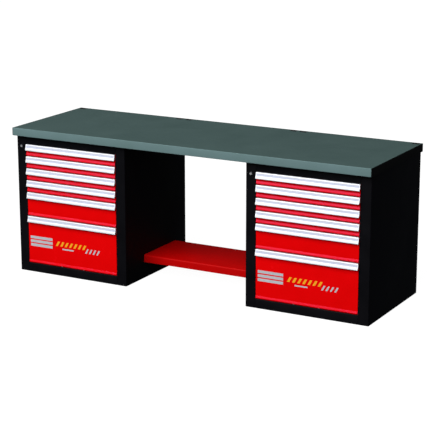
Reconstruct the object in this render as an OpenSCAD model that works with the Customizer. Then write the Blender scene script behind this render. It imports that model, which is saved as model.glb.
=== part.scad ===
// Workbench with two six-drawer cabinets, a low shelf between them and one long worktop.
// Origin: centre of the whole bench on the floor. X runs along the bench, -Y is the front, +Z is up.

/* [Worktop] */
// Length of the worktop
top_w = 2366; // [2200:1:2800]
// Depth of the worktop
top_d = 756; // [750:1:800]
// Thickness of the worktop
top_t = 48; // [40:1:60]
// Round on the long edges of the worktop
top_edge_r = 3; // [1:0.5:6]

/* [Cabinets] */
// Outside width of one cabinet
cab_w = 770; // [740:5:800]
// Outside depth of one cabinet
cab_d = 720; // [700:5:720]
// Height of a cabinet without the worktop
cab_h = 857; // [850:1:900]
// How far the worktop overhangs a cabinet at its outer side
side_overhang = 10; // [5:1:30]
// How far the worktop overhangs the cabinet fronts
front_overhang = 33; // [22:1:35]
// Sheet thickness of the cabinet
sheet = 2; // [1.5:0.5:3]
// Width of the front posts beside the drawers
post_w = 65; // [64:1:70]
// Height of the frame below the lowest drawer
base_h = 55; // [40:1:60]

/* [Drawers] */
// Front heights in one cabinet, from the top drawer down
pitches = [75, 75, 75, 75, 150, 300]; // [50:25:400]
// Gap between neighbouring drawer fronts
front_gap = 3; // [2:0.5:5]
// Gap between a drawer front and the posts
side_gap = 2; // [1.5:0.5:4]
// Depth of a drawer tray
tray_d = 610; // [500:10:640]
// Sheet thickness of a drawer tray
tray_t = 1.5; // [1:0.5:2]
// Depth of the folded edges of a drawer front
front_fold = 16; // [12:1:20]
// Height above the foot of a front at which its lip starts to stand out
lip_top = 24; // [18:1:28]
// Height of the lip's crest above the foot
lip_crest = 10; // [6:1:12]
// How far the crest stands out
lip_out = 5; // [2:0.5:6]

/* [Handles] */
// Height of the aluminium handle strip
handle_h = 37; // [34:1:42]
// How far the handle stands out at its top
handle_top = 6; // [5:1:10]
// How far the handle stands out at its foot
handle_foot = 15; // [12:1:18]
// Distance of the label channel below the handle's top
label_top = 8; // [6:1:12]
// Height of the label channel
label_h = 12; // [8:1:16]

/* [Slides] */
// Height of a fixed rail
rail_h = 40; // [36:1:44]
// Length of the rails
rail_l = 600; // [500:10:640]

/* [Shelf] */
// Depth of the shelf
shelf_d = 384; // [300:1:500]
// Height of the folded lip of the shelf
shelf_h = 46; // [30:1:60]
// Height of the top of the shelf above the floor
shelf_z = 147; // [140:1:150]
// Distance from the middle of the shelf to the middle of the bench
shelf_y = 55; // [0:1:120]

/* [Lock] */
// Distance of the lock from the cabinet's left side
lock_x = 32; // [31:1:36]
// Height of the lock above the floor
lock_z = 790; // [780:1:794]
// Distance that the lock bar rises in a quarter turn
bar_lift = 7; // [5:0.5:8]

/* [Hidden] */
$fn = 48;
eps = 0.01;
SIDES = ["left", "right"];
COUNT = len(pitches);
ROWS = [for (i = [1:COUNT]) i];
cab_x = top_w / 2 - side_overhang - cab_w / 2;   // middle of a cabinet from the middle of the bench
bay_w = 2 * (cab_x - cab_w / 2);                 // clear width between the cabinets
front_y = -top_d / 2 + front_overhang;           // plane of the cabinet fronts
back_y = front_y + cab_d;
open_w = cab_w - 2 * post_w;
front_w = open_w - 2 * side_gap;
open_z = base_h + sum(pitches, COUNT);           // foot of the rail above the drawers
post_d = 20;                                     // depth of the fold beside the opening
tray_y = front_y + front_fold;                   // front wall of a tray
rail_y = front_y + post_d + 2;                   // front end of the rails
tray_w = 608;
channel_w = 28;                                  // slotted channels that carry the rails
channel_d = 50;
channel_ys = [rail_y + 60, rail_y + rail_l - 110];
fixed_x = open_w / 2 + 0.5;                      // inner face of a fixed rail's web
fixed_reach = 11;                                // its flanges reach this far towards the drawer
member_t = 2;                                    // sheet of the sliding members
play = 1;                                        // play between a rail and the member in it
lock_r = 10;
bar_w = 24;                                      // width of the lock bar
bar_t = 3;
bar_y = front_y + 13;                            // front face of the lock bar
cam_pin_r = 2.5;
side_hole_r = 4.5;
shelf_holes = [-95, 83];                         // bolts of the shelf, along Y
shelf_hole_z = 122;
shelf_bend = 8;                                  // round on the shelf's upper edges
upper_hole = [226, 260];                         // spare hole in each side, Y and Z
lower_hole = [218, 69];
slot_w = 43;                                     // slots for the uprights of a rear panel
slot_d = 20;
slot_y = top_d / 2 - 20;
plug_rim = 3;
slot_xs = [for (s = [-1, 1], x = [363, 427, 1149]) s * x];
bolt_r = 4;
bolt_head_r = 6.5;
bolt_head_h = 5;
bolt_hole_r = 4.5;                               // clearance hole of the worktop's bolts in a housing
top_bolt_l = 25;
shelf_bolt_l = 12;
top_bolt_pos = [for (x = [-250, 250], y = [-290, 290]) [x, y]];

// Sum of the first n entries of a list
function sum(list, n) = n <= 0 ? 0 : list[n - 1] + sum(list, n - 1);
// Height of the top and the foot of drawer front i
function top_z(i) = open_z - sum(pitches, i - 1) - front_gap / 2;
function foot_z(i) = open_z - sum(pitches, i) + front_gap / 2;
// Foot of tray i, and its wall height
function tray_z(i) = foot_z(i) + 8;
function tray_h(i) = min(top_z(i) - tray_z(i) - 10, 250);

// Moves a cabinet's parts from the middle of the bench to the cabinet named side
module at_side(side) translate([side == "left" ? -cab_x : cab_x, 0, 0]) children();

// A copy at both hands of a cabinet's middle plane
module both_hands() {
    children();
    mirror([1, 0, 0]) children();
}

// An outline in the Y-Z plane pushed along X over the length w, centred
module along_x(w) translate([-w / 2, 0, 0]) rotate([90, 0, 90]) linear_extrude(w) children();

// A bore or a shaft along X, and one along Y
module x_rod(r, l) rotate([0, 90, 0]) cylinder(r = r, h = l);
module y_rod(r, l) rotate([-90, 0, 0]) cylinder(r = r, h = l);

module worktop() {
    color("darkslategray") difference() {
        along_x(top_w) difference() {
            translate([-top_d / 2, cab_h]) square([top_d, top_t]);
            for (z = [0, 1]) translate([-top_d / 2, cab_h + z * top_t]) corner_cut(top_edge_r, z);
        }
        for (x = slot_xs) {
            translate([x - slot_w / 2 + plug_rim, slot_y - slot_d / 2 + plug_rim, cab_h - eps])
                cube([slot_w - 2 * plug_rim, slot_d - 2 * plug_rim, top_t + 2 * eps]);
            translate([x - slot_w / 2, slot_y - slot_d / 2, cab_h + top_t - plug_rim])
                cube([slot_w, slot_d, plug_rim + eps]);
        }
        for (s = [-1, 1], p = top_bolt_pos) translate([s * cab_x + p.x, p.y, cab_h - eps])
            cylinder(r = bolt_r, h = top_bolt_l);
    }
}

// The corner outside a round of radius r at the origin, below it or above it
module corner_cut(r, above) {
    d = above == 1 ? -1 : 1;
    difference() {
        translate([-eps, d > 0 ? -eps : -r]) square([r + eps, r + eps]);
        translate([r, d * r]) circle(r);
    }
}

// Caps that close the slots near the back edge
module slot_plugs() {
    color("black") for (x = slot_xs) {
        translate([x - slot_w / 2, slot_y - slot_d / 2, cab_h + top_t - plug_rim])
            cube([slot_w, slot_d, plug_rim]);
        translate([x - slot_w / 2 + plug_rim, slot_y - slot_d / 2 + plug_rim, cab_h + top_t - 20])
            cube([slot_w - 2 * plug_rim, slot_d - 2 * plug_rim, 20]);
    }
}

// A welded sheet cabinet: sides, back, top, floor, front posts and rails, and rail channels
module housing(side) {
    color("black") at_side(side) difference() {
        union() {
            both_hands() side_panel();
            translate([-cab_w / 2, back_y - sheet, 0]) cube([cab_w, sheet, cab_h]);
            for (z = [0, cab_h - sheet]) translate([-cab_w / 2, front_y, z])
                cube([cab_w, cab_d, sheet]);
            frame_rail(0, base_h);
            frame_rail(open_z, cab_h - open_z);
            bar_guides();
        }
        // side holes for the shelf and for accessories, through both side panels
        for (p = concat([for (y = shelf_holes) [y, shelf_hole_z]], [upper_hole, lower_hole]))
            translate([-cab_w / 2 - 1, p[0], p[1]]) both_ends(cab_w + 2) x_rod(side_hole_r, 2 + sheet);
        for (p = top_bolt_pos) translate([p.x, p.y, cab_h - sheet - 1])
            cylinder(r = bolt_hole_r, h = sheet + 2);
        translate([lock_x - cab_w / 2, front_y - 1, lock_z]) y_rod(lock_r, sheet + 2);
    }
}

// A copy at the start and a mirrored copy at the end of the length l along X
module both_ends(l) {
    children();
    translate([l, 0, 0]) mirror([1, 0, 0]) children();
}

// One side: outer sheet, front post with its fold, and two upright channels
module side_panel() {
    x0 = cab_w / 2;
    translate([x0 - sheet, front_y, 0]) cube([sheet, cab_d, cab_h]);
    translate([x0 - post_w, front_y, 0]) cube([post_w, sheet, cab_h]);
    translate([x0 - post_w, front_y, 0]) cube([sheet, post_d, cab_h]);
    for (y = channel_ys) translate([x0 - sheet - channel_w, y - channel_d / 2, 0]) {
        translate([0, 0, sheet]) cube([sheet, channel_d, cab_h - 2 * sheet]);
        for (dy = [0, channel_d - sheet]) translate([0, dy, sheet])
            cube([channel_w, sheet, cab_h - 2 * sheet]);
    }
}

// A folded rail across the front, from height z upwards
module frame_rail(z, h) {
    translate([-cab_w / 2, front_y, z]) cube([cab_w, sheet, h]);
    edge = z == 0 ? z + h - sheet : z;
    translate([-open_w / 2, front_y, edge]) cube([open_w, post_d - 6, sheet]);
}

// Bridges on the back of the left post that guide the lock bar
module bar_guides() {
    gap = 0.5;
    for (z = [180, 640]) translate([lock_x - cab_w / 2 - bar_w / 2, 0, z]) {
        for (x = [-gap - 2, bar_w + gap]) translate([x, front_y + sheet, 0])
            cube([2, bar_y + bar_t + gap + 2 - front_y - sheet, 16]);
        translate([-gap - 2, bar_y + bar_t + gap, 0]) cube([bar_w + 2 * gap + 4, 2, 16]);
    }
}

// The folded steel tray between the cabinets, open below
module shelf() {
    foot = shelf_z - shelf_h;
    color("firebrick") difference() {
        union() {
            along_x(bay_w) difference() {
                shelf_section(0);
                shelf_section(sheet);
            }
            both_hands() translate([bay_w / 2 - sheet, shelf_y - shelf_d / 2 + 1, foot])
                cube([sheet, shelf_d - 2, shelf_h - shelf_bend]);
            both_hands() translate([bay_w / 2 - sheet, shelf_y - shelf_d / 2 + shelf_bend, foot])
                cube([sheet, shelf_d - 2 * shelf_bend, shelf_h - sheet / 2]);
        }
        for (y = shelf_holes) translate([-bay_w / 2 - 1, y, shelf_hole_z])
            both_ends(bay_w + 2) x_rod(side_hole_r, 2 + sheet);
    }
}

// The shelf's section with rounded upper corners; an inset one also runs out below
module shelf_section(inset) {
    w = shelf_d - 2 * inset;
    r = shelf_bend - inset;
    below = inset > 0 ? 1 : 0;
    translate([shelf_y - w / 2, shelf_z - shelf_h - below]) {
        square([w, shelf_h - shelf_bend + below]);
        translate([r, 0]) square([w - 2 * r, shelf_h - inset + below]);
        for (x = [r, w - r]) translate([x, shelf_h - shelf_bend + below]) circle(r);
    }
}

// A hexagon bolt with its head at the origin and its shank along +Z
module bolt(l) {
    translate([0, 0, -bolt_head_h]) cylinder(r = bolt_head_r, h = bolt_head_h, $fn = 6);
    cylinder(r = bolt_r, h = l);
}

// Bolts that hold the worktop on the cabinets and the shelf between them
module mounting_bolts() {
    color("silver") {
        for (s = [-1, 1], p = top_bolt_pos)
            translate([s * cab_x + p.x, p.y, cab_h - sheet]) bolt(top_bolt_l);
        for (y = shelf_holes) translate([0, y, shelf_hole_z]) both_hands()
            translate([bay_w / 2 - sheet, 0, 0]) rotate([0, 90, 0]) bolt(shelf_bolt_l);
    }
}

// Fixed members of the slides: a C rail with two brackets, for each hand of each drawer
module fixed_rails() {
    color("silver") for (s = SIDES, i = ROWS) at_side(s) both_hands()
        translate([0, rail_y, tray_z(i)]) {
            c_rail(fixed_x, fixed_reach, rail_h, rail_l);
            bracket_l = cab_w / 2 - sheet - channel_w - fixed_x - sheet;
            for (y = channel_ys) translate([fixed_x + sheet, y - rail_y - 15, rail_h / 2])
                cube([bracket_l, 30, 3]);
        }
}

// A C section that opens towards the drawer; x is the inner face of its web
module c_rail(x, reach, h, l) {
    translate([x, 0, 0]) cube([member_t, l, h]);
    for (z = [0, h - member_t]) translate([x - reach, 0, z]) cube([reach, l, member_t]);
}

// Sliding middle members of drawer i's pair of slides
module slide_pair(side, i) {
    gap = member_t + play;
    color("lightgray") at_side(side) both_hands() translate([0, rail_y + 2, tray_z(i) + gap])
        c_rail(fixed_x - play - member_t, fixed_reach - 2.5, rail_h - 2 * gap, rail_l - 4);
}

// A drawer tray: floor, four walls and the drawer members of its slides
module tray(side, i) {
    z = tray_z(i);
    h = tray_h(i);
    inner = rail_h - 4 * (member_t + play);
    wall_h = top_z(i) - foot_z(i) - 2;
    color("gray") at_side(side) translate([0, tray_y, z]) {
        difference() {
            translate([-tray_w / 2, 0, 0]) cube([tray_w, tray_d, h]);
            translate([-tray_w / 2 + tray_t, tray_t, tray_t])
                cube([tray_w - 2 * tray_t, tray_d - 2 * tray_t, h]);
        }
        // the front wall is as wide as the drawer front, which is fixed to it
        translate([1 - front_w / 2, 0, foot_z(i) + 1 - z]) cube([front_w - 2, tray_t, wall_h]);
        both_hands() translate([tray_w / 2, rail_y - tray_y + 2, (rail_h - inner) / 2])
            cube([fixed_x - 2 * play - member_t - tray_w / 2 - 0.5, rail_l - 4, inner]);
    }
}

// A drawer front: flat face, folded edges and a ridge along its foot
module front(side, i) {
    h = top_z(i) - foot_z(i);
    t = 2;
    color("red") at_side(side) translate([0, front_y, foot_z(i)]) {
        along_x(front_w) polygon([
            [0, h], [0, lip_top], [-lip_out, lip_crest], [0, 0], [front_fold, 0], [front_fold, t],
            [t, t], [t - lip_out, lip_crest], [t, lip_top], [t, h - t], [front_fold, h - t], [front_fold, h]
        ]);
        both_hands() translate([front_w / 2 - t, t, lip_top])
            cube([t, front_fold - t, h - lip_top - t / 2]);
    }
}

// A full-width aluminium handle strip with a label channel
module handle(side, i) {
    t = 2.5;
    slope = (handle_foot - handle_top) / handle_h;
    label_foot = label_top + label_h;
    // depth of the face at the distance z below the top
    function face(z) = -handle_top - slope * z;
    color("gainsboro") at_side(side) translate([0, front_y, top_z(i)]) along_x(front_w)
        polygon([
            [0, 0], [face(0), 0],
            [face(label_top), -label_top], [face(label_top) + 1, -label_top],
            [face(label_foot) + 1, -label_foot], [face(label_foot), -label_foot],
            [face(handle_h), -handle_h], [face(handle_h) + t, -handle_h],
            [face(t) + t, -t], [-t, -t], [-t, -handle_h + 6], [0, -handle_h + 6]
        ]);
}

// Fixed barrels of the two locks, through the left post of each cabinet
module lock_barrels() {
    color("silver") for (s = SIDES) at_side(s)
        translate([lock_x - cab_w / 2, front_y, lock_z]) difference() {
            union() {
                translate([0, -3, 0]) y_rod(lock_r + 1.5, 3);
                y_rod(lock_r - 0.1, 11);
            }
            translate([0, -4, 0]) y_rod(7, 16);
        }
}

// The turning core of a lock with its cam; the key slot stands upright
module lock_core(side) {
    color("gainsboro") at_side(side) translate([lock_x - cab_w / 2, front_y, lock_z]) {
        difference() {
            translate([0, -3.5, 0]) y_rod(6.95, 15);
            translate([-0.75, -4, -3.5]) cube([1.5, 4, 7]);
        }
        translate([0, 11.5, 0]) y_rod(8.5, 1);
        translate([bar_lift, 11.5, 0]) y_rod(cam_pin_r, 6);
    }
}

// The bar behind the left post that blocks the drawers; it rises as the lock turns
module lock_bar(side) {
    low = base_h + 20;
    high = lock_z + 9;
    x = lock_x - cab_w / 2;
    color("dimgray") at_side(side) {
        difference() {
            translate([x - bar_w / 2, bar_y, low]) cube([bar_w, bar_t, high - low]);
            // cross slot for the cam pin, high enough for the pin's arc
            translate([x - cam_pin_r - 1, bar_y - 1, lock_z - cam_pin_r - 1])
                cube([bar_lift + 2 * cam_pin_r + 2, bar_t + 2, 2 * cam_pin_r + 4]);
        }
        // a finger for each drawer
        for (i = ROWS) translate([x + bar_w / 2, bar_y, tray_z(i) + rail_h / 2])
            cube([post_w - lock_x - bar_w / 2 - sheet - 2, bar_t, 8]);
    }
}

worktop();
slot_plugs();
shelf();
mounting_bolts();
fixed_rails();
lock_barrels();
for (s = SIDES) {
    housing(s);
    lock_core(s);
    lock_bar(s);
    for (i = ROWS) {
        front(s, i);
        handle(s, i);
        tray(s, i);
        slide_pair(s, i);
    }
}
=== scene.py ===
# Looks of a workbench: two six-drawer steel cabinets, a low shelf and one long worktop.
import math

import bmesh
import bpy
from mathutils import Matrix, Vector


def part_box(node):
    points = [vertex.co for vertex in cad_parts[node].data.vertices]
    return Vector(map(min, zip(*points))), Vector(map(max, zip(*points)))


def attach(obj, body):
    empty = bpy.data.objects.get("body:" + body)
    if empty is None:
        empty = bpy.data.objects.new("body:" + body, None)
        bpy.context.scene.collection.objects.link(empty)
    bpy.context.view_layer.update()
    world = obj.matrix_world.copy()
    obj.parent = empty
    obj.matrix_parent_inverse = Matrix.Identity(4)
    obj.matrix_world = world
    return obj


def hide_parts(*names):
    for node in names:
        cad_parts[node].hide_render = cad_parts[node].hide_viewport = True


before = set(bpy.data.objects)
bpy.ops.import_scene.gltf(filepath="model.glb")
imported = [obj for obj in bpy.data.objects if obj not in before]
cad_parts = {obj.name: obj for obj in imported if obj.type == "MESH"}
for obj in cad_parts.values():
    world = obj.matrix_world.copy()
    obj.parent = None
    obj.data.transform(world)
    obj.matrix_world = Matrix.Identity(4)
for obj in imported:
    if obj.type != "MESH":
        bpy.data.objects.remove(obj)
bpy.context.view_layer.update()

# ---------------------------------------------------------------- sizes, in metres
MM = 0.001
SIDES = ("left", "right")
ROWS = range(1, 7)
SHEET = 2 * MM             # steel of the cabinets, the fronts and the shelf
TRAY_SHEET = 1.5 * MM
FOLD = 3 * MM              # outside round of a folded sheet edge
TOP_LOW, TOP_HIGH = (Vector(corner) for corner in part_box("worktop"))
FRONT_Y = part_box("left_housing")[0][1]     # plane of the cabinet fronts
BACK_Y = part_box("left_housing")[1][1]
CABINET_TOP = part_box("left_housing")[1][2]
SIDE_GAP = 2 * MM          # gap between a drawer front and the posts
HOLE_R = 4.5 * MM          # side holes for M8 bolts
SIDE_HOLES = ((-95 * MM, 122 * MM), (83 * MM, 122 * MM), (226 * MM, 260 * MM), (218 * MM, 69 * MM))
POST_FOLD = 20 * MM        # depth of the fold beside the drawers
BASE_H = 55 * MM
LOCK_HOLE_R = 10 * MM
BACK_FLANGE = 30 * MM      # flanges of the sides that the back panel is riveted to
CHANNEL_W, CHANNEL_D = 28 * MM, 50 * MM     # upright channels inside a cabinet, across and along Y
SMOOTH_BELOW = math.radians(32)             # faces that meet at less than this are shaded as one
FLOOR_SIZE = 60.0


def cabinet(side):
    """Middle, half width, and half width of the drawer opening of one cabinet."""
    low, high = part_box(f"{side}_housing")
    front_low, front_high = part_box(f"{side}_front_1")
    middle = (low[0] + high[0]) / 2
    return middle, (high[0] - low[0]) / 2, (front_high[0] - front_low[0]) / 2 + SIDE_GAP


def lock_centre(side):
    """Where a lock's axis meets the plane of the cabinet front."""
    low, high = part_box(f"{side}_lock_core")
    cam_r = 8.5 * MM
    return Vector((low[0] + cam_r, FRONT_Y, (low[2] + high[2]) / 2))


def channel_places():
    """Y of the front and the back upright channels."""
    low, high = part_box("fixed_rails")
    return low[1] + 60 * MM, high[1] - 110 * MM


# ---------------------------------------------------------------- material helpers
def rgb(code):
    """Linear colour of an sRGB hex code such as "C8102E"."""
    def linear(value):
        return value / 12.92 if value <= 0.04045 else ((value + 0.055) / 1.055) ** 2.4
    return tuple(linear(int(code[k:k + 2], 16) / 255) for k in (0, 2, 4)) + (1.0,)


def add(tree, kind, inputs=None, **settings):
    """Adds a node with its settings. An input is given a value, or a socket to be linked to."""
    made = tree.nodes.new(kind)
    for key, value in settings.items():
        setattr(made, key, value)
    for key, value in (inputs or {}).items():
        if isinstance(value, bpy.types.NodeSocket):
            tree.links.new(value, made.inputs[key])
        else:
            made.inputs[key].default_value = value
    return made


def new_material(name, **shader):
    """A material with a Principled shader; returns the material, its tree, the shader and the coordinates."""
    made = bpy.data.materials.new(name)
    made.use_nodes = True
    tree = made.node_tree
    tree.nodes.clear()
    surface = add(tree, "ShaderNodeBsdfPrincipled", {k.replace("_", " "): v for k, v in shader.items()})
    add(tree, "ShaderNodeOutputMaterial", {"Surface": surface.outputs[0]})
    place = add(tree, "ShaderNodeTexCoord").outputs["Object"]
    return made, tree, surface, place


def grain(tree, place, size, detail=2.0, stretch=(1, 1, 1)):
    """Noise whose features are about size metres across, longer along a stretched axis."""
    scaled = add(tree, "ShaderNodeMapping", {"Vector": place, "Scale": tuple(1 / s for s in stretch)})
    return add(tree, "ShaderNodeTexNoise", {"Vector": scaled.outputs[0], "Scale": 1 / size, "Detail": detail,
                                            "Roughness": 0.6}).outputs["Fac"]


def between(tree, factor, low, high, a, b):
    """Mixes colour a into colour b as factor goes from low to high."""
    share = add(tree, "ShaderNodeMapRange", {"Value": factor, "From Min": low, "From Max": high})
    return add(tree, "ShaderNodeMix", {0: share.outputs[0], 6: a, 7: b}, data_type="RGBA").outputs[2]


def spread(tree, factor, low, high):
    """Spreads a noise value of 0.3 to 0.7 over low to high, such as for roughness."""
    return add(tree, "ShaderNodeMapRange", {"Value": factor, "From Min": 0.3, "From Max": 0.7,
                                            "To Min": low, "To Max": high}).outputs[0]


def bump(tree, surface, height, depth, strength=1.0):
    """Raises the surface by height times depth metres."""
    made = add(tree, "ShaderNodeBump", {"Height": height, "Distance": depth, "Strength": strength})
    tree.links.new(made.outputs[0], surface.inputs["Normal"])


# ---------------------------------------------------------------- materials
def powder_coat(name, colour, darker, level, low, high, tint="FFFFFF"):
    """Baked powder paint on steel: an even colour with a fine orange peel, drawn at 2 mm so that it shows."""
    made, tree, surface, place = new_material(name, IOR=1.5, Specular_IOR_Level=level,
                                              Specular_Tint=rgb(tint))
    cloud = grain(tree, place, 120 * MM, 3)
    peel = grain(tree, place, 2 * MM, 1)
    tree.links.new(between(tree, cloud, 0.3, 0.7, rgb(darker), rgb(colour)), surface.inputs["Base Color"])
    tree.links.new(spread(tree, cloud, low, high), surface.inputs["Roughness"])
    bump(tree, surface, peel, 0.05 * MM)
    return made


def laminate(name, dark, light):
    """Matt high-pressure laminate or edge band: one colour with a fine darker and lighter fleck."""
    made, tree, surface, place = new_material(name, IOR=1.5, Specular_IOR_Level=0.2)
    fleck = grain(tree, place, 3 * MM, 2)
    cloud = grain(tree, place, 200 * MM, 3)
    base = between(tree, fleck, 0.35, 0.65, rgb(dark), rgb(light))
    soft = between(tree, cloud, 0.3, 0.7, rgb(dark), rgb(light))
    mixed = add(tree, "ShaderNodeMix", {0: 0.5, 6: base, 7: soft}, data_type="RGBA").outputs[2]
    tree.links.new(mixed, surface.inputs["Base Color"])
    tree.links.new(spread(tree, cloud, 0.55, 0.65), surface.inputs["Roughness"])
    bump(tree, surface, fleck, 0.03 * MM)
    return made


def anodised_aluminium():
    """Clear anodised extrusion: pale satin metal with fine drawing lines along its length."""
    made, tree, surface, place = new_material("anodised_aluminium", Metallic=1.0)
    lines = grain(tree, place, 1.2 * MM, 2, stretch=(400, 1, 1))
    tree.links.new(between(tree, lines, 0.3, 0.7, rgb("E2E4EA"), rgb("F0F1F5")), surface.inputs["Base Color"])
    tree.links.new(spread(tree, lines, 0.58, 0.68), surface.inputs["Roughness"])
    bump(tree, surface, lines, 0.02 * MM)
    return made


def zinc_plate():
    """Bright zinc plate on pressed steel: cool grey with a cloudy, slightly blue passivated film."""
    made, tree, surface, place = new_material("zinc_plate", Metallic=1.0)
    cloud = grain(tree, place, 25 * MM, 4)
    film = between(tree, cloud, 0.35, 0.65, rgb("B2B6BC"), rgb("C3C7CC"))
    tree.links.new(film, surface.inputs["Base Color"])
    tree.links.new(spread(tree, cloud, 0.34, 0.4), surface.inputs["Roughness"])
    bump(tree, surface, grain(tree, place, 3 * MM, 2), 0.02 * MM)
    return made


def satin_chrome(name, dark, light):
    """Satin chrome plate on the lock: soft reflections, with faint polishing swirls."""
    made, tree, surface, place = new_material(name, Metallic=1.0)
    swirl = grain(tree, place, 4 * MM, 3)
    tree.links.new(between(tree, swirl, 0.3, 0.7, rgb(dark), rgb(light)), surface.inputs["Base Color"])
    tree.links.new(spread(tree, swirl, 0.4, 0.5), surface.inputs["Roughness"])
    bump(tree, surface, swirl, 0.005 * MM)
    return made


def moulded_plastic(name, colour, darker, rough):
    """Injection-moulded ABS with a fine spark-eroded grain."""
    made, tree, surface, place = new_material(name, IOR=1.53)
    cloud = grain(tree, place, 10 * MM, 2)
    tree.links.new(between(tree, cloud, 0.3, 0.7, rgb(darker), rgb(colour)), surface.inputs["Base Color"])
    tree.links.new(spread(tree, cloud, rough - 0.05, rough + 0.05), surface.inputs["Roughness"])
    bump(tree, surface, grain(tree, place, 1.5 * MM, 1), 0.03 * MM)
    return made


# The two hex codes of a finish are the tones that it drifts between
LAMINATE = laminate("grey_green_laminate", "3E514F", "465957")
# The front edge band is a lighter grey-green than the top laminate: painted light, for the front taking more
# light than the top
PAINTED_LIGHT_EDGE_BAND = laminate("grey_green_edge_band_painted_light", "58706F", "61797B")
# The end bands are near black: painted shade, for the shade on the worktop's ends
PAINTED_SHADE_END_BAND = laminate("painted_shade_end_band", "040405", "070708")
BLACK_PAINT = powder_coat("black_powder_coat", "08080C", "060609", 0.08, 0.45, 0.55)
RED_PAINT = powder_coat("red_powder_coat", "DA0202", "D40202", 0.2, 0.22, 0.28, "F0A8FF")
# The shelf's red is darker than the fronts' red: painted shade, for the shade under the worktop and between
# the cabinets
SHADED_SHELF_PAINT = powder_coat("red_powder_coat_painted_shade", "B20202", "AC0202", 0.06, 0.45, 0.5)
TRAY_PAINT = powder_coat("grey_powder_coat", "8E9195", "86898D", 0.4, 0.45, 0.55)
ALUMINIUM = anodised_aluminium()
ZINC = zinc_plate()
CHROME = satin_chrome("satin_chrome", "DCDDE0", "EDEEF0")
DARK_CHROME = satin_chrome("dark_chrome", "2C2D30", "36373B")
BLACK_PLASTIC = moulded_plastic("black_moulded_plastic", "101113", "0C0D0F", 0.5)
LABEL = moulded_plastic("label_under_clear_cover", "BABFD2", "B7BCCF", 0.3)
STRIPE_GREY = moulded_plastic("grey_printed_film", "B9BCC2", "AEB1B8", 0.35)
STRIPE_YELLOW = moulded_plastic("yellow_printed_film", "F0A824", "E79C18", 0.35)


# ---------------------------------------------------------------- mesh helpers
def rounded(corners, steps=4, closed=False):
    """Points of a path in a plane, whose corners are (a, b, radius) and are rounded by arcs."""
    points = []
    for k, (a, b, radius) in enumerate(corners):
        corner = Vector((a, b))
        is_end = not closed and k in (0, len(corners) - 1)
        if is_end or radius == 0:
            points.append(corner)
            continue
        before = (corner - Vector(corners[k - 1][:2])).normalized()
        after = (Vector(corners[(k + 1) % len(corners)][:2]) - corner).normalized()
        turn = math.atan2(before.x * after.y - before.y * after.x, before.dot(after))
        if abs(turn) < 0.01:
            points.append(corner)
            continue
        start = corner - before * radius * math.tan(abs(turn) / 2)
        inward = Vector((-before.y, before.x)) * math.copysign(1, turn)
        centre = start + inward * radius
        for s in range(steps + 1):
            points.append(centre + Matrix.Rotation(turn * s / steps, 2) @ (start - centre))
    return points


def offset(points, distance):
    """The path moved sideways, to its left, by distance."""
    moved = []
    for k, point in enumerate(points):
        before = point - points[k - 1] if k else points[1] - point
        after = points[k + 1] - point if k + 1 < len(points) else before
        normals = [Vector((-d.y, d.x)).normalized() for d in (before, after)]
        middle = (normals[0] + normals[1]).normalized()
        moved.append(point + middle * distance / max(middle.dot(normals[0]), 0.3))
    return moved


def turned(axis, a, b, along):
    """The place of (a, b) in the plane across an axis, at the distance along it."""
    return {"X": (along, a, b), "Y": (a, along, b), "Z": (a, b, along)}[axis]


def sheet(bm, path, thickness, start, end, axis):
    """A folded sheet: the path's ribbon, pushed from start to end along the axis. A closed shell."""
    edges = (offset(path, thickness / 2), offset(path, -thickness / 2))
    rings = [[[bm.verts.new(turned(axis, p.x, p.y, along)) for p in edge] for edge in edges]
             for along in (start, end)]
    (left0, right0), (left1, right1) = rings
    for k in range(len(path) - 1):
        bm.faces.new((left0[k], left0[k + 1], left1[k + 1], left1[k]))
        bm.faces.new((right0[k + 1], right0[k], right1[k], right1[k + 1]))
        bm.faces.new((left0[k + 1], left0[k], right0[k], right0[k + 1]))
        bm.faces.new((left1[k], left1[k + 1], right1[k + 1], right1[k]))
    bm.faces.new((left0[0], left1[0], right1[0], right0[0]))
    bm.faces.new((left1[-1], left0[-1], right0[-1], right1[-1]))


def prism(bm, outline, start, end, axis):
    """A closed outline pushed from start to end along the axis."""
    near, far = ([bm.verts.new(turned(axis, p.x, p.y, along)) for p in outline] for along in (start, end))
    bm.faces.new(near)
    bm.faces.new(far[::-1])
    for k in range(len(outline)):
        bm.faces.new((near[k - 1], far[k - 1], far[k], near[k]))


def block(bm, low, high):
    """A box between two corners."""
    corners = [Vector((low[0], low[1])), Vector((high[0], low[1])),
               Vector((high[0], high[1])), Vector((low[0], high[1]))]
    prism(bm, corners, low[2], high[2], "Z")


def lathe(bm, profile, centre, steps=48):
    """A closed outline of (radius, depth) turned about the Y axis through centre."""
    rings = []
    for k in range(steps):
        turn = 2 * math.pi * k / steps
        rings.append([bm.verts.new((centre[0] + r * math.cos(turn), centre[1] + depth,
                                    centre[2] + r * math.sin(turn))) for r, depth in profile])
    for k in range(steps):
        for j in range(len(profile)):
            bm.faces.new((rings[k - 1][j - 1], rings[k - 1][j], rings[k][j], rings[k][j - 1]))


def piece(name, bm, material, body, nodes=(), soften=0.0, segments=2):
    """Turns a mesh into a finished piece on a body, with its sharp edges softened."""
    bmesh.ops.recalc_face_normals(bm, faces=bm.faces)
    if soften:
        sharp = [e for e in bm.edges if len(e.link_faces) == 2 and e.calc_face_angle(0) > math.radians(35)]
        bmesh.ops.bevel(bm, geom=sharp, offset=soften, segments=segments, profile=0.5, affect="EDGES",
                        clamp_overlap=True)
    mesh = bpy.data.meshes.new(name)
    bm.to_mesh(mesh)
    bm.free()
    return dress(name, mesh, material, body, nodes)


def dress(name, mesh, material, body, nodes=()):
    """Makes an object of a mesh, with its material and body."""
    for face in mesh.polygons:
        face.use_smooth = True
    mesh.set_sharp_from_angle(angle=SMOOTH_BELOW)
    mesh.materials.clear()
    mesh.materials.append(material)
    made = bpy.data.objects.new(name, mesh)
    bpy.context.scene.collection.objects.link(made)
    if nodes:
        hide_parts(*nodes)
    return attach(made, body)


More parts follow.
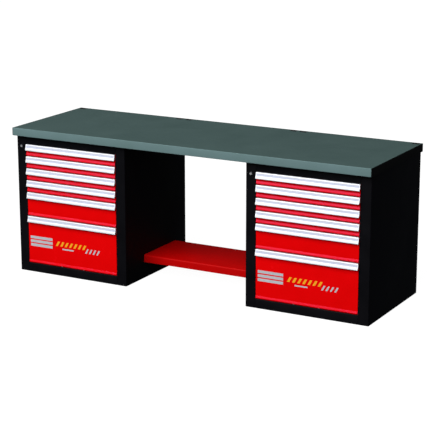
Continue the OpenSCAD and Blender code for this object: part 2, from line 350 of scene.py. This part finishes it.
def drill(holes, centre, axis, radius, depth, segments=32):
    """Adds a round cutter to holes: depth metres long, about its centre, along X or Y."""
    turn = Matrix.Translation(centre) @ Matrix.Rotation(math.pi / 2, 4, {"X": "Y", "Y": "X"}[axis])
    bmesh.ops.create_cone(holes, cap_ends=True, segments=segments, radius1=radius, radius2=radius,
                          depth=depth, matrix=turn)


def cut(target, cutter_bm):
    """Takes the cutter's solids out of a finished piece's mesh."""
    bmesh.ops.recalc_face_normals(cutter_bm, faces=cutter_bm.faces)
    mesh = bpy.data.meshes.new("cutter")
    cutter_bm.to_mesh(mesh)
    cutter_bm.free()
    cutter = bpy.data.objects.new("cutter", mesh)
    bpy.context.scene.collection.objects.link(cutter)
    modifier = target.modifiers.new("cut", "BOOLEAN")
    modifier.object = cutter
    modifier.solver = "EXACT"
    settle(target, modifier)
    bpy.data.objects.remove(cutter)
    bpy.data.meshes.remove(mesh)


def settle(target, modifier):
    """Turns a modifier's result into the plain mesh and takes the modifier away."""
    evaluated = target.evaluated_get(bpy.context.evaluated_depsgraph_get())
    mesh = bpy.data.meshes.new_from_object(evaluated)
    target.modifiers.remove(modifier)
    target.data = mesh
    mesh.set_sharp_from_angle(angle=SMOOTH_BELOW)


# ---------------------------------------------------------------- repeated shapes, by Geometry Nodes
GRID = {"Columns": "Int", "Rows": "Int", "Width": "Float", "Height": "Float", "Place": "Vector",
        "Turn": "Vector", "Finish": "Material"}
ACROSS = (math.pi / 2, 0, math.pi / 2)      # turns a grid to face along X, with its rows upwards
BACKWARDS = (math.pi / 2, 0, 0)             # turns a grid to face along Y, with its rows upwards


def new_tree(name, **more_inputs):
    """A geometry tree with a shape output and named inputs, and the sockets of its input node."""
    tree = bpy.data.node_groups.new(name, "GeometryNodeTree")
    tree.interface.new_socket("Shape", in_out="OUTPUT", socket_type="NodeSocketGeometry")
    for label, kind in {**more_inputs, **GRID}.items():
        tree.interface.new_socket(label, in_out="INPUT", socket_type=f"NodeSocket{kind}")
    return tree, add(tree, "NodeGroupInput").outputs


def on_grid(tree, given, item):
    """Puts an item on each point of a grid, then turns the grid and moves it to its place."""
    grid = add(tree, "GeometryNodeMeshGrid", {"Vertices X": given["Columns"], "Vertices Y": given["Rows"],
                                              "Size X": given["Width"], "Size Y": given["Height"]})
    copies = add(tree, "GeometryNodeInstanceOnPoints", {"Points": grid.outputs["Mesh"], "Instance": item})
    return add(tree, "GeometryNodeTransform", {"Geometry": copies.outputs[0], "Translation": given["Place"],
                                               "Rotation": given["Turn"]}).outputs[0]


def end_tree(tree, given, shape):
    """Makes the instances real, sets the material and gives the shape out."""
    real = add(tree, "GeometryNodeRealizeInstances", {0: shape})
    dressed = add(tree, "GeometryNodeSetMaterial", {"Geometry": real.outputs[0], "Material": given["Finish"]})
    add(tree, "NodeGroupOutput", {0: dressed.outputs[0]})
    return tree


def rivet_rows():
    """Domed rivet heads on a grid, each half sunk in the sheet it holds."""
    tree, given = new_tree("rivet_rows", Radius="Float", Flatness="Float")
    ball = add(tree, "GeometryNodeMeshUVSphere", {"Segments": 12, "Rings": 6, "Radius": given["Radius"]})
    scale = add(tree, "ShaderNodeCombineXYZ", {"X": 1.0, "Y": 1.0, "Z": given["Flatness"]})
    dome = add(tree, "GeometryNodeTransform", {"Geometry": ball.outputs["Mesh"], "Scale": scale.outputs[0]})
    return end_tree(tree, given, on_grid(tree, given, dome.outputs[0]))


def screw_rows():
    """Screw heads on a grid, each a disc with a hexagon socket in its face."""
    tree, given = new_tree("screw_rows", Radius="Float", Depth="Float")
    head = add(tree, "GeometryNodeMeshCylinder", {"Vertices": 18, "Radius": given["Radius"],
                                                  "Depth": given["Depth"]})
    half = add(tree, "ShaderNodeMath", {0: given["Radius"], 1: 0.5}, operation="MULTIPLY")
    raised = add(tree, "ShaderNodeCombineXYZ", {"Z": given["Depth"]})
    hexagon = add(tree, "GeometryNodeMeshCylinder", {"Vertices": 6, "Radius": half.outputs[0],
                                                     "Depth": given["Depth"]})
    lifted = add(tree, "GeometryNodeTransform", {"Geometry": hexagon.outputs["Mesh"],
                                                 "Translation": raised.outputs[0], "Scale": (1, 1, 1.3)})
    screw = add(tree, "GeometryNodeMeshBoolean",
                {"Mesh 1": head.outputs["Mesh"], "Mesh 2": lifted.outputs[0]},
                operation="DIFFERENCE", solver="EXACT")
    return end_tree(tree, given, on_grid(tree, given, screw.outputs[0]))


def punched_slots():
    """A sheet with a grid of slots punched through it, as deep as the third size of Slot."""
    tree, given = new_tree("punched_slots", Sheet="Geometry", Slot="Vector")
    punch = add(tree, "GeometryNodeMeshCube", {"Size": given["Slot"]})
    punches = add(tree, "GeometryNodeRealizeInstances", {0: on_grid(tree, given, punch.outputs["Mesh"])})
    holed = add(tree, "GeometryNodeMeshBoolean", {"Mesh 1": given["Sheet"], "Mesh 2": punches.outputs[0]},
                operation="DIFFERENCE", solver="EXACT")
    return end_tree(tree, given, holed.outputs[0])


RIVETS = rivet_rows()
SCREWS = screw_rows()
PUNCHED = punched_slots()


def grow(tree, base=None, **values):
    """The mesh that a tree makes from its named inputs, and from a base mesh if it takes one."""
    mesh = bpy.data.meshes.new("base")
    if base:
        bmesh.ops.recalc_face_normals(base, faces=base.faces)
        base.to_mesh(mesh)
        base.free()
    holder = bpy.data.objects.new("holder", mesh)
    bpy.context.scene.collection.objects.link(holder)
    modifier = holder.modifiers.new("grow", "NODES")
    modifier.node_group = tree
    for item in tree.interface.items_tree:
        if item.in_out == "INPUT" and item.name in values:
            modifier[item.identifier] = values[item.name]
    grown = bpy.data.meshes.new_from_object(holder.evaluated_get(bpy.context.evaluated_depsgraph_get()))
    bpy.data.objects.remove(holder)
    bpy.data.meshes.remove(mesh)
    made = bmesh.new()
    made.from_mesh(grown)
    bpy.data.meshes.remove(grown)
    return made


def join(bm, other):
    """Adds another mesh to a mesh."""
    mesh = bpy.data.meshes.new("joined")
    other.to_mesh(mesh)
    other.free()
    bm.from_mesh(mesh)
    bpy.data.meshes.remove(mesh)


# ---------------------------------------------------------------- worktop
SLOT_W, SLOT_D = 43 * MM, 38 * MM
SLOT_Y = TOP_HIGH.y - 23 * MM
SLOT_XS = [hand * x * MM for hand in (-1, 1) for x in (363, 427, 1149)]
CAP_H, CAP_DROP, CAP_PLAY = 20 * MM, 0.4 * MM, 0.3 * MM     # height, depth below the top, gap all round


def make_worktop():
    """The slab with its edge bands and six slots, and the caps that close them. The front band is coloured
    lighter than the top as painted light, and the end bands near black as painted shade.
    """
    low, high = TOP_LOW, TOP_HIGH
    front_round, back_round, band = 3 * MM, 1.5 * MM, 3 * MM
    bm = bmesh.new()
    outline = rounded([(low.y + band, low.z, 0), (high.y, low.z, back_round), (high.y, high.z, back_round),
                       (low.y + band, high.z, 0)], 5, closed=True)
    prism(bm, outline, low.x + band, high.x - band, "X")
    top = piece("worktop_slab", bm, LAMINATE, "bench", ["worktop"])
    front = bmesh.new()
    outline = rounded([(low.y, low.z, front_round), (low.y + band, low.z, 0), (low.y + band, high.z, 0),
                       (low.y, high.z, front_round)], 5, closed=True)
    prism(front, outline, low.x + band, high.x - band, "X")
    piece("worktop_front_band_painted_light", front, PAINTED_LIGHT_EDGE_BAND, "bench", ["worktop"])
    # The end bands, coloured near black as painted shade
    ends = bmesh.new()
    outline = rounded([(low.y, low.z, front_round), (high.y, low.z, back_round), (high.y, high.z, back_round),
                       (low.y, high.z, front_round)], 5, closed=True)
    for start, end in ((low.x, low.x + band), (high.x - band, high.x)):
        prism(ends, outline, start, end, "X")
    piece("worktop_end_bands_painted_shade", ends, PAINTED_SHADE_END_BAND, "bench", ["worktop"], 1 * MM)
    slots = bmesh.new()
    caps = bmesh.new()
    for x in SLOT_XS:
        left, right, near, far = x - SLOT_W / 2, x + SLOT_W / 2, SLOT_Y - SLOT_D / 2, SLOT_Y + SLOT_D / 2
        block(slots, (left, near, high.z - CAP_H - 2 * MM), (right, far, high.z + MM))
        block(caps, (left + CAP_PLAY, near + CAP_PLAY, high.z - CAP_H),
              (right - CAP_PLAY, far - CAP_PLAY, high.z - CAP_DROP))
    cut(top, slots)
    piece("worktop_slot_caps", caps, BLACK_PLASTIC, "bench", ["slot_plugs"], 0.8 * MM)


# ---------------------------------------------------------------- cabinets
def make_housing(side):
    """Folded shell with posts, front rails, top and floor sheets, upright channels and bar guides."""
    middle, half, half_open = cabinet(side)
    half_t = SHEET / 2
    fold_y = FRONT_Y + POST_FOLD
    shell = bmesh.new()
    for hand in (-1, 1):
        path = rounded([(middle + hand * a, b, r) for a, b, r in (
            (half_open + half_t, fold_y, 0), (half_open + half_t, FRONT_Y + half_t, FOLD),
            (half - half_t, FRONT_Y + half_t, FOLD), (half - half_t, BACK_Y - half_t, FOLD),
            (half - BACK_FLANGE, BACK_Y - half_t, 0))])
        sheet(shell, path, SHEET, 0, CABINET_TOP, "Z")
    body = piece(f"{side}_cabinet_shell", shell, BLACK_PAINT, "bench", [f"{side}_housing"])
    holes = bmesh.new()
    for hand in (-1, 1):
        for y, z in SIDE_HOLES:
            drill(holes, (middle + hand * (half - half_t), y, z), "X", HOLE_R, 6 * SHEET)
    drill(holes, lock_centre(side), "Y", LOCK_HOLE_R, 6 * SHEET, 48)
    cut(body, holes)

    rails = bmesh.new()
    rail_depth = POST_FOLD - 6 * MM
    gap_above = 1.5 * MM
    opening_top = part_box(f"{side}_front_1")[1][2] + gap_above
    for low, high, inner in ((0, BASE_H, BASE_H), (opening_top, CABINET_TOP, opening_top)):
        outer = low if inner == high else high
        step = half_t if inner == low else -half_t
        path = rounded([(FRONT_Y + half_t, outer, 0), (FRONT_Y + half_t, inner + step, FOLD),
                        (FRONT_Y + rail_depth, inner + step, 0)])
        sheet(rails, path, SHEET, middle - half_open, middle + half_open, "X")
    piece(f"{side}_cabinet_rails", rails, BLACK_PAINT, "bench", [f"{side}_housing"])

    plates = bmesh.new()
    for z in (0, CABINET_TOP - SHEET):
        block(plates, (middle - half + SHEET, FRONT_Y + SHEET, z),
              (middle + half - SHEET, BACK_Y - 2 * SHEET, z + SHEET))
    piece(f"{side}_cabinet_plates", plates, BLACK_PAINT, "bench", [f"{side}_housing"])
    make_back(side)
    make_channels(side)
    make_bar_guides(side)


def make_back(side):
    """The back panel inside the side flanges, with two pressed ribs, and the rivets that hold it."""
    middle, half, _ = cabinet(side)
    y = BACK_Y - 1.5 * SHEET
    edge = half - SHEET - MM
    rib, ramp, rise = 60 * MM, 4 * MM, 1.6 * MM
    bends = [(-edge, 0)]
    for x in (-half / 3, half / 3):
        bends += [(x - rib / 2, 0), (x - rib / 2 + ramp, rise),
                  (x + rib / 2 - ramp, rise), (x + rib / 2, 0)]
    bends.append((edge, 0))
    path = rounded([(middle + x, y + lift, 3 * MM) for x, lift in bends], 3)
    panel = bmesh.new()
    sheet(panel, path, SHEET, SHEET, CABINET_TOP - SHEET, "Z")
    piece(f"{side}_cabinet_back", panel, BLACK_PAINT, "bench", [f"{side}_housing"])
    rivets = grow(RIVETS, Columns=2, Rows=9, Width=2 * (half - BACK_FLANGE / 2), Height=CABINET_TOP - 60 * MM,
                  Radius=4 * MM, Flatness=0.4, Place=(middle, BACK_Y, CABINET_TOP / 2), Turn=BACKWARDS,
                  Finish=ZINC)
    piece(f"{side}_back_rivets", rivets, ZINC, "bench", [f"{side}_housing"])


def make_bar_guides(side):
    """Two bridges behind the left post that guide the lock bar."""
    x = lock_centre(side).x
    half_bar, bar_t, gap, height = 12 * MM, 3 * MM, 0.5 * MM, 16 * MM
    bar_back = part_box(f"{side}_lock_bar")[0][1] + bar_t
    arm = half_bar + gap + SHEET / 2
    bm = bmesh.new()
    for z in (180 * MM, 640 * MM):
        path = rounded([(x - arm, FRONT_Y + SHEET, 0), (x - arm, bar_back + gap + SHEET / 2, FOLD),
                        (x + arm, bar_back + gap + SHEET / 2, FOLD), (x + arm, FRONT_Y + SHEET, 0)])
        sheet(bm, path, SHEET, z, z + height, "Z")
    piece(f"{side}_bar_guides", bm, ZINC, "bench", [f"{side}_housing"])


def make_channels(side):
    """The four upright channels inside a cabinet that carry the rails."""
    middle, half, _ = cabinet(side)
    inner = half - SHEET
    half_d = CHANNEL_D / 2 - SHEET / 2
    front_y, back_y = channel_places()
    bm = bmesh.new()
    for y in (front_y, back_y):
        for hand in (-1, 1):
            edge, web = middle + hand * inner, middle + hand * (inner - CHANNEL_W + SHEET / 2)
            path = rounded([(edge, y - half_d, 0), (web, y - half_d, FOLD),
                            (web, y + half_d, FOLD), (edge, y + half_d, 0)])
            sheet(bm, path, SHEET, SHEET, CABINET_TOP - SHEET, "Z")
    step, rows = 25 * MM, 32
    slot_w, slot_h, reach = 6 * MM, 14 * MM, 2 * (inner - CHANNEL_W) + 6 * SHEET
    bm = grow(PUNCHED, bm, Columns=2, Rows=rows, Width=back_y - front_y, Height=(rows - 1) * step,
              Slot=(slot_w, slot_h, reach), Place=(middle, (front_y + back_y) / 2, CABINET_TOP / 2),
              Turn=ACROSS, Finish=ZINC)
    piece(f"{side}_cabinet_channels", bm, ZINC, "bench", [f"{side}_housing"])


# ---------------------------------------------------------------- drawers
LIP_TOP, LIP_CREST, LIP_OUT = 20 * MM, 7 * MM, 5 * MM     # the ridge along a front's foot
FOOT_FOLD = 16 * MM
TOP_FOLD, TOP_DROP = 8 * MM, 2.5 * MM           # the top fold hides behind the handle's upper edge
HANDLE_TOP, HANDLE_WALL = 6 * MM, 2.5 * MM      # how far the handle stands out at its top, and its wall
LABEL_TOP, LABEL_FOOT = 8 * MM, 20 * MM         # the label channel, below the handle's top
RAIL_FOLD = 2 * MM         # outside round of the slides' members
RAIL_REACH = 11 * MM       # how far a fixed rail's flanges reach towards the drawer
TRAY_HALF = 304 * MM       # half width of a tray's box, without its slide members
TRAY_LIFT, TRAY_SPARE, TRAY_WALL_MAX = 8 * MM, 10 * MM, 250 * MM    # foot and head room behind a front


def make_front(side, row):
    """A red folded front: top fold, flat face and a ridge along its foot, with side folds."""
    name = f"{side}_front_{row}"
    low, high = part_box(name)
    half_t = SHEET / 2
    face, back = FRONT_Y + half_t, FRONT_Y + FOOT_FOLD
    top = high[2] - TOP_DROP
    inset, flange = 0.5 * MM, 1.5 * MM
    bm = bmesh.new()
    path = rounded([(FRONT_Y + TOP_FOLD, top - half_t, 0), (face, top - half_t, FOLD),
                    (face, low[2] + LIP_TOP, 10 * MM), (face - LIP_OUT, low[2] + LIP_CREST, 2 * MM),
                    (face, low[2] + half_t, MM), (back, low[2] + half_t, 0)], 5)
    sheet(bm, path, SHEET, low[0], high[0], "X")
    for x in (low[0] + inset, high[0] - inset - flange):
        block(bm, (x, FRONT_Y + SHEET, low[2] + LIP_TOP), (x + flange, FRONT_Y + TOP_FOLD, top - SHEET))
    piece(f"{name}_pressing", bm, RED_PAINT, f"{side}_drawer_{row}", [name])


def make_handle(side, row):
    """The extruded handle strip with its label channel, and the blank label strip in the channel."""
    name = f"{side}_handle_{row}"
    low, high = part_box(name)
    top, foot, face = high[2], low[2], low[1]
    slope = (FRONT_Y - face - HANDLE_TOP) / (top - foot)
    label_top, label_foot = top - LABEL_TOP, top - LABEL_FOOT

    def face_y(drop):
        return FRONT_Y - HANDLE_TOP - slope * drop
    corners = [(FRONT_Y, top, 0.5 * MM), (face_y(0), top, 1.5 * MM),
               (face_y(LABEL_TOP), label_top, 0.5 * MM), (face_y(LABEL_TOP) + MM, label_top, 0),
               (face_y(LABEL_FOOT) + MM, label_foot, 0), (face_y(LABEL_FOOT), label_foot, 0.5 * MM),
               (face, foot, MM), (face + HANDLE_WALL, foot, MM),
               (face_y(HANDLE_WALL) + HANDLE_WALL, top - HANDLE_WALL, MM),
               (FRONT_Y - HANDLE_WALL, top - HANDLE_WALL, MM),
               (FRONT_Y - HANDLE_WALL, foot + 6 * MM, 0.5 * MM), (FRONT_Y, foot + 6 * MM, 0.5 * MM)]
    bm = bmesh.new()
    prism(bm, rounded(corners, 4, closed=True), low[0], high[0], "X")
    piece(f"{name}_extrusion", bm, ALUMINIUM, f"{side}_drawer_{row}", [name])

    strip = bmesh.new()
    proud, play, short = 0.3 * MM, 0.2 * MM, 4 * MM
    outline = [Vector((face_y(drop) + depth, top - drop)) for drop, depth in
               ((LABEL_TOP + play, proud), (LABEL_TOP + play, MM), (LABEL_FOOT - play, MM),
                (LABEL_FOOT - play, proud))]
    prism(strip, outline, low[0] + short, high[0] - short, "X")
    piece(f"{side}_label_{row}", strip, LABEL, f"{side}_drawer_{row}")


def make_tray(side, row):
    """A folded tray: floor with two walls and hemmed rims, front and back walls, and slide members."""
    name = f"{side}_tray_{row}"
    low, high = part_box(name)
    front_low, front_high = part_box(f"{side}_front_{row}")
    middle, half, half_t = (low[0] + high[0]) / 2, TRAY_HALF, TRAY_SHEET / 2
    floor_z = front_low[2] + TRAY_LIFT
    wall = min(front_high[2] - floor_z - TRAY_SPARE, TRAY_WALL_MAX)
    rim_z, rim = floor_z + wall - half_t, 8 * MM
    start, end = low[1], high[1]
    bm = bmesh.new()
    right = [(half - rim, rim_z, 0), (half - half_t, rim_z, FOLD), (half - half_t, floor_z + half_t, FOLD)]
    path = rounded([(middle + a, b, r) for a, b, r in right]
                   + [(middle - a, b, r) for a, b, r in right[::-1]])
    sheet(bm, path, TRAY_SHEET, start + TRAY_SHEET, end - TRAY_SHEET, "Y")
    slots, step, below_rim = 23, 25 * MM, 10 * MM
    slot_w, slot_h = 3 * MM, min(wall - 22 * MM, 90 * MM)
    bm = grow(PUNCHED, bm, Columns=slots, Rows=1, Width=(slots - 1) * step, Height=0.0,
              Slot=(slot_w, slot_h, 2 * half + 10 * MM), Turn=ACROSS, Finish=TRAY_PAINT,
              Place=(middle, (start + end) / 2, floor_z + wall - below_rim - slot_h / 2))
    block(bm, (low[0], start, low[2]), (high[0], start + TRAY_SHEET, high[2]))
    back = rounded([(end - rim, rim_z, 0), (end - half_t, rim_z, FOLD), (end - half_t, floor_z, 0)])
    sheet(bm, back, TRAY_SHEET, middle - half, middle + half, "X")
    piece(f"{name}_sheet", bm, TRAY_PAINT, f"{side}_drawer_{row}", [name])

    members = bmesh.new()
    rail_low, rail_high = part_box(f"{side}_slide_{row}")
    play, reach = 3 * MM, 12 * MM      # gap to the middle member, and how far out this one reaches
    foot, head = rail_low[2] + play + SHEET / 2, rail_high[2] - play - SHEET / 2
    for hand in (-1, 1):
        inner, outer = middle + hand * half, middle + hand * (half + reach)
        path = rounded([(inner, foot, 0), (outer, foot, RAIL_FOLD),
                        (outer, head, RAIL_FOLD), (inner, head, 0)])
        sheet(members, path, SHEET, rail_low[1], rail_high[1], "Y")
    piece(f"{side}_drawer_rails_{row}", members, ZINC, f"{side}_drawer_{row}", [name])


# ---------------------------------------------------------------- slides


def c_rails(bm, middle, web, reach, low, high):
    """Two C rails, one for each hand: web is the distance of the web's middle, low and high are (Y, Z)."""
    half_t = SHEET / 2
    for hand in (-1, 1):
        path = rounded([(middle + hand * a, b, r) for a, b, r in (
            (web - reach, low[1] + half_t, 0), (web, low[1] + half_t, RAIL_FOLD),
            (web, high[1] - half_t, RAIL_FOLD), (web - reach, high[1] - half_t, 0))])
        sheet(bm, path, SHEET, low[0], high[0], "Y")


def make_slide(side, row):
    """The sliding middle members of a drawer's two slides."""
    name = f"{side}_slide_{row}"
    low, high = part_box(name)
    middle = (low[0] + high[0]) / 2
    bm = bmesh.new()
    c_rails(bm, middle, high[0] - middle - SHEET / 2, RAIL_REACH - 1.5 * MM, low[1:], high[1:])
    piece(f"{name}_members", bm, ZINC, f"{side}_middle_rails_{row}", [name])


def make_fixed_rails(side):
    """The fixed rails of a cabinet, their brackets to the upright channels, and the brackets' screws."""
    middle, half, _ = cabinet(side)
    rail_low, rail_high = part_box("fixed_rails")
    tab_x = half - SHEET - CHANNEL_W - MM          # the brackets' tabs, just clear of the channels
    front_y, back_y = channel_places()
    tab_half, tab_h, drop = 15 * MM, 18 * MM, 10 * MM      # a tab's half width and height, its screw's drop
    play = 3 * MM              # a fixed rail is this much higher than the member in it, at top and foot
    bm, screws = bmesh.new(), bmesh.new()
    for row in ROWS:
        low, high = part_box(f"{side}_slide_{row}")
        web = high[0] - middle + MM + SHEET / 2
        c_rails(bm, middle, web, RAIL_REACH, (rail_low[1], low[2] - play), (rail_high[1], high[2] + play))
        z = (low[2] + high[2]) / 2
        for hand in (-1, 1):
            for y in (front_y, back_y):
                path = rounded([(middle + hand * a, b, r) for a, b, r in (
                    (web + SHEET / 2, z, 0), (tab_x, z, RAIL_FOLD), (tab_x, z - tab_h, 0))])
                sheet(bm, path, SHEET, y - tab_half, y + tab_half, "Y")
            screw_x = middle + hand * (tab_x - SHEET)
            join(screws, grow(SCREWS, Columns=2, Rows=1, Width=back_y - front_y, Height=0.0,
                              Radius=4.5 * MM, Depth=3 * MM, Turn=(math.pi / 2, 0, -hand * math.pi / 2),
                              Place=(screw_x, (front_y + back_y) / 2, z - drop), Finish=ZINC))
    piece(f"{side}_fixed_rails", bm, ZINC, "bench", ["fixed_rails"])
    piece(f"{side}_rail_screws", screws, ZINC, "bench", ["fixed_rails"])


# ---------------------------------------------------------------- plain marks and tabs on the deepest drawers
# Rows of plain bars, in mm: how many, the first one's left edge from the front's, its foot from the
# floor, its width and height, how far its head leans, and the step along and up to the next
MARKS = {
    "grey_bars": (STRIPE_GREY, "sticker_grey", [(3, 12, 165, 162, 17, 0, 0, 24)]),
    "yellow_stripes": (STRIPE_YELLOW, "sticker_yellow", [(7, 198, 187, 15, 29, 16, 32, 0)]),
    "pale_stripes": (STRIPE_GREY, "sticker_grey", [(1, 246, 167, 82, 8, 0, 0, 0),
                                                   (4, 411, 167, 11, 29, 16, 27, 0)]),
}
MARK_OUT, MARK_SUNK = 0.3 * MM, 0.5 * MM        # how far a bar stands out of the face, and goes into it
TAB_XS = (310 * MM, 467 * MM)                   # from the cabinet's left side
TAB_HALF, TAB_OUT, TAB_H = 4.5 * MM, 3.5 * MM, 6 * MM


def slanted_bar(bm, left, foot, width, height, lean):
    """A thin printed bar on the front's face, whose head leans to the right."""
    head = foot + height
    corners = [Vector((left, foot)), Vector((left + width, foot)),
               Vector((left + width + lean, head)), Vector((left + lean, head))]
    prism(bm, corners, FRONT_Y - MARK_OUT, FRONT_Y + MARK_SUNK, "Y")


def make_marks(side):
    """Plain bars and slanted stripes in two colours, without letters, and two small bright tabs."""
    front_left, _, front_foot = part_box(f"{side}_front_6")[0]
    body = f"{side}_drawer_6"
    for name, (material, slot, bars) in MARKS.items():
        bm = bmesh.new()
        for count, left, foot, width, height, lean, along, up in bars:
            for k in range(count):
                slanted_bar(bm, front_left + (left + along * k) * MM, (foot + up * k) * MM,
                            width * MM, height * MM, lean * MM)
        piece(f"{side}_{name}", bm, material, body)
    middle, half, _ = cabinet(side)
    tabs = bmesh.new()
    for x in TAB_XS:
        centre = middle - half + x
        path = rounded([(FRONT_Y + 8 * MM, front_foot + MM, 0),
                        (FRONT_Y - TAB_OUT, front_foot + MM, 1.5 * MM),
                        (FRONT_Y - TAB_OUT, front_foot + TAB_H, 0)])
        sheet(tabs, path, MM, centre - TAB_HALF, centre + TAB_HALF, "X")
    piece(f"{side}_front_tabs", tabs, ZINC, body)


# ---------------------------------------------------------------- shelf
def make_shelf():
    """The red folded shelf, in a darker red as painted shade, with rounded upper edges, front and back lips,
    and end flanges.
    """
    low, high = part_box("shelf")
    half_t, bend, clear = SHEET / 2, 7 * MM, 3 * MM
    bm = bmesh.new()
    path = rounded([(low[1] + half_t, low[2], 0), (low[1] + half_t, high[2] - half_t, bend),
                    (high[1] - half_t, high[2] - half_t, bend), (high[1] - half_t, low[2], 0)], 6)
    sheet(bm, path, SHEET, low[0], high[0], "X")
    for x in (low[0], high[0] - SHEET):
        block(bm, (x, low[1] + clear, low[2]), (x + SHEET, high[1] - clear, high[2] - SHEET))
    shelf = piece("shelf_pressing", bm, SHADED_SHELF_PAINT, "bench", ["shelf"])
    holes = bmesh.new()
    for x in (low[0] + SHEET / 2, high[0] - SHEET / 2):
        for y, z in SIDE_HOLES[:2]:
            drill(holes, (x, y, z), "X", HOLE_R, 4 * SHEET)
    cut(shelf, holes)


# ---------------------------------------------------------------- locks
def make_barrels():
    """The locks' fixed barrels, each with a rounded rim on the cabinet's post."""
    rim, tube, bore, proud, length = 11.5 * MM, 9.9 * MM, 7 * MM, 3 * MM, 11 * MM
    profile = [(bore, -2.2 * MM), (bore + 0.8 * MM, -proud), (rim - 1.2 * MM, -proud),
               (rim - 0.3 * MM, -2.5 * MM), (rim, -1.5 * MM), (rim, 0), (tube, 0), (tube, length),
               (bore, length)]
    bm = bmesh.new()
    for side in SIDES:
        lathe(bm, profile, lock_centre(side))
    piece("lock_rims", bm, DARK_CHROME, "bench", ["lock_barrels"])


def dress_kept_nodes():
    """Better materials for the CAD nodes whose shape is right."""
    kept = {"mounting_bolts": ZINC}
    for side in SIDES:
        kept[f"{side}_lock_core"] = CHROME
        kept[f"{side}_lock_bar"] = ZINC
    for node, material in kept.items():
        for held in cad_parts[node].material_slots:
            held.material = material


make_worktop()
make_shelf()
make_barrels()
for side in SIDES:
    make_housing(side)
    for row in ROWS:
        make_front(side, row)
        make_handle(side, row)
        make_tray(side, row)
        make_slide(side, row)
    make_fixed_rails(side)
    make_marks(side)
dress_kept_nodes()


# ---------------------------------------------------------------- stage, lights and camera
WHITE = (1, 1, 1, 1)
FLOOR_GLOW = 0.97          # the floor is seen almost as bright as the surround
FILL_TINT, FILL = (0.9, 0.95, 1, 1), 0.04           # light of the surround on the bench
BENCH_MIDDLE = (0, 0, 0.4)
CAMERA_AT, CAMERA_DOWN, CAMERA_TURN, LENS = (4.3912, -8.0075, 2.7786), 14.596, 28.561, 129.79


def place(made, location, target):
    """Puts a light or camera at location, looking at target."""
    made.location = location
    made.rotation_euler = (Vector(target) - Vector(location)).to_track_quat("-Z", "Y").to_euler()
    bpy.context.scene.collection.objects.link(made)
    return made


def soft_light(name, location, target, width, height, power, mirrored=True):
    """A rectangular soft light, which may be left out of reflections."""
    light = bpy.data.lights.new(name, "AREA")
    light.shape = "RECTANGLE"
    light.size, light.size_y = width, height
    light.energy = power
    made = place(bpy.data.objects.new(name, light), location, target)
    made.visible_glossy = mirrored
    return made


def make_stage():
    """A pale floor that doesn't light the bench, and a white surround that barely fills the shadows."""
    bm = bmesh.new()
    bmesh.ops.create_grid(bm, x_segments=1, y_segments=1, size=FLOOR_SIZE)
    mesh = bpy.data.meshes.new("floor")
    bm.to_mesh(mesh)
    bm.free()
    floor = bpy.data.objects.new("floor", mesh)
    bpy.context.scene.collection.objects.link(floor)
    mesh.materials.append(new_material("pale_floor", Base_Color=rgb("5F5F5F"), Roughness=1.0,
                                       Specular_IOR_Level=0.0, Emission_Color=WHITE,
                                       Emission_Strength=FLOOR_GLOW)[0])
    floor.visible_diffuse = False
    floor.visible_glossy = False
    world = bpy.data.worlds.new("surround")
    world.use_nodes = True
    tree = world.node_tree
    tree.nodes.clear()
    seen = add(tree, "ShaderNodeBackground", {"Color": WHITE, "Strength": 1.0})
    fill = add(tree, "ShaderNodeBackground", {"Color": FILL_TINT, "Strength": FILL})
    path = add(tree, "ShaderNodeLightPath")
    mixed = add(tree, "ShaderNodeMixShader", {0: path.outputs["Is Camera Ray"], 1: fill.outputs[0],
                                              2: seen.outputs[0]})
    add(tree, "ShaderNodeOutputWorld", {"Surface": mixed.outputs[0]})
    bpy.context.scene.world = world


def make_camera():
    """A long lens from the front right, a little above the worktop."""
    data = bpy.data.cameras.new("camera")
    data.sensor_width = 36
    data.lens = LENS
    data.clip_end = 200
    camera = bpy.data.objects.new("camera", data)
    camera.location = CAMERA_AT
    camera.rotation_euler = (math.radians(90 - CAMERA_DOWN), 0, math.radians(CAMERA_TURN))
    bpy.context.scene.collection.objects.link(camera)
    bpy.context.scene.camera = camera


make_stage()
make_camera()
soft_light("high_softbox", (-2.16, -10.18, 9.77), BENCH_MIDDLE, 16.0, 13.0, 3640)
for hand in (-1, 1):
    soft_light("side_softbox", (hand * 14, 2, 2.5), BENCH_MIDDLE, 4.0, 4.0, 450, mirrored=False)
soft_light("back_softbox", (0, 15, 1.8), (0, 0, 0.6), 3.0, 3.0, 1300, mirrored=False)
bpy.context.scene.view_settings.view_transform = "Standard"
